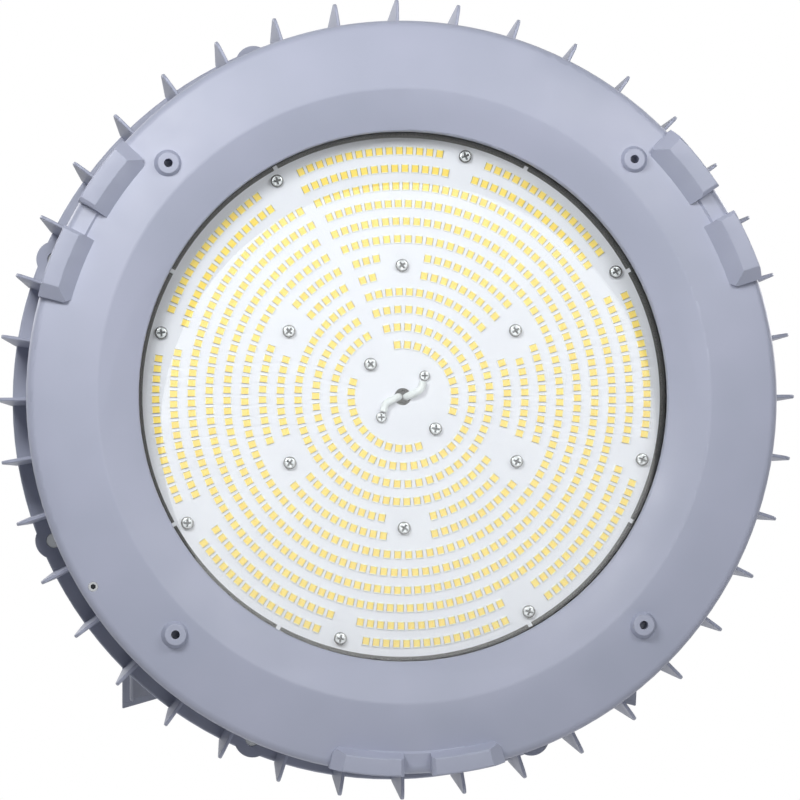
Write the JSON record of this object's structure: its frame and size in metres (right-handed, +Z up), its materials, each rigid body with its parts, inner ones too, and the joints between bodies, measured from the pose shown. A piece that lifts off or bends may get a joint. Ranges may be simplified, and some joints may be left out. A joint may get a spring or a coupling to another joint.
{
  "type": "explosion-proof led light",
  "caption": "Round finned floodlight: screwed front ring with guard bosses and spanner lugs, glass over a packed LED board, rear driver housing and tilting U-bracket.",
  "frame": {"origin": "centre of the four guard bosses on the front ring, at their front faces", "axes": "-Y is where the light leaves, +Z is up with the bracket hanging below, +X is to the right seen from the front"},
  "size_m": [0.3208, 0.203, 0.3208],
  "materials": {
    "cast_paint": "satin light grey-blue paint on cast aluminium",
    "bracket_paint": "satin grey paint on steel strip",
    "lens": "clear toughened glass",
    "seal": "matt silicone rubber",
    "steel": "plated steel",
    "board": "white solder resist on an aluminium-core board",
    "phosphor": "yellow phosphor in white packages",
    "sleeve": "white sleeved wire",
    "plastic": "moulded plastic",
    "plated_brass": "nickel-plated brass",
    "driver_case": "potted aluminium case"
  },
  "bodies": {
    "bracket_body": {"bracket": "bracket_paint"},
    "lamp": {"front_ring": "cast_paint", "ring_lock_screw": "steel", "lens_gasket": "seal", "lens_glass": "lens", "lens_clamp_ring": "steel", "lens_clamp_screws": "steel", "front_seal": "seal", "housing": "cast_paint", "led_board": "board", "led_rows": "phosphor", "board_screws_outer": "steel", "board_screws_middle": "steel", "board_screws_inner": "steel", "terminal_screws": "steel", "lead_positive": "sleeve", "lead_negative": "sleeve", "lead_grommet": "seal", "driver_housing": "cast_paint", "rear_seal": "seal", "housing_bolts": "steel", "housing_bolt_washers": "steel", "led_driver": "driver_case", "driver_screws": "steel", "feedthrough_bushing": "plastic", "supply_leads": "sleeve", "terminal_block": "plastic", "terminal_cover": "cast_paint", "terminal_cover_seal": "seal", "terminal_cover_bolts": "steel", "gland_body": "plated_brass", "gland_seal": "seal", "gland_nut": "plated_brass", "blanking_plug": "plated_brass", "earth_washer": "steel", "earth_screw": "steel", "pivot_tooth_washers": "steel", "pivot_flat_washers": "steel", "pivot_spring_washers": "steel", "pivot_bolts": "steel"}
  },
  "joints": [
    {"name": "lamp_tilt", "type": "hinge", "parent": "bracket_body", "child": "lamp", "pos_m": [0, 0.103, 0], "axis": [1, 0, 0], "range_deg": [-147.5, 12.5]}
  ]
}
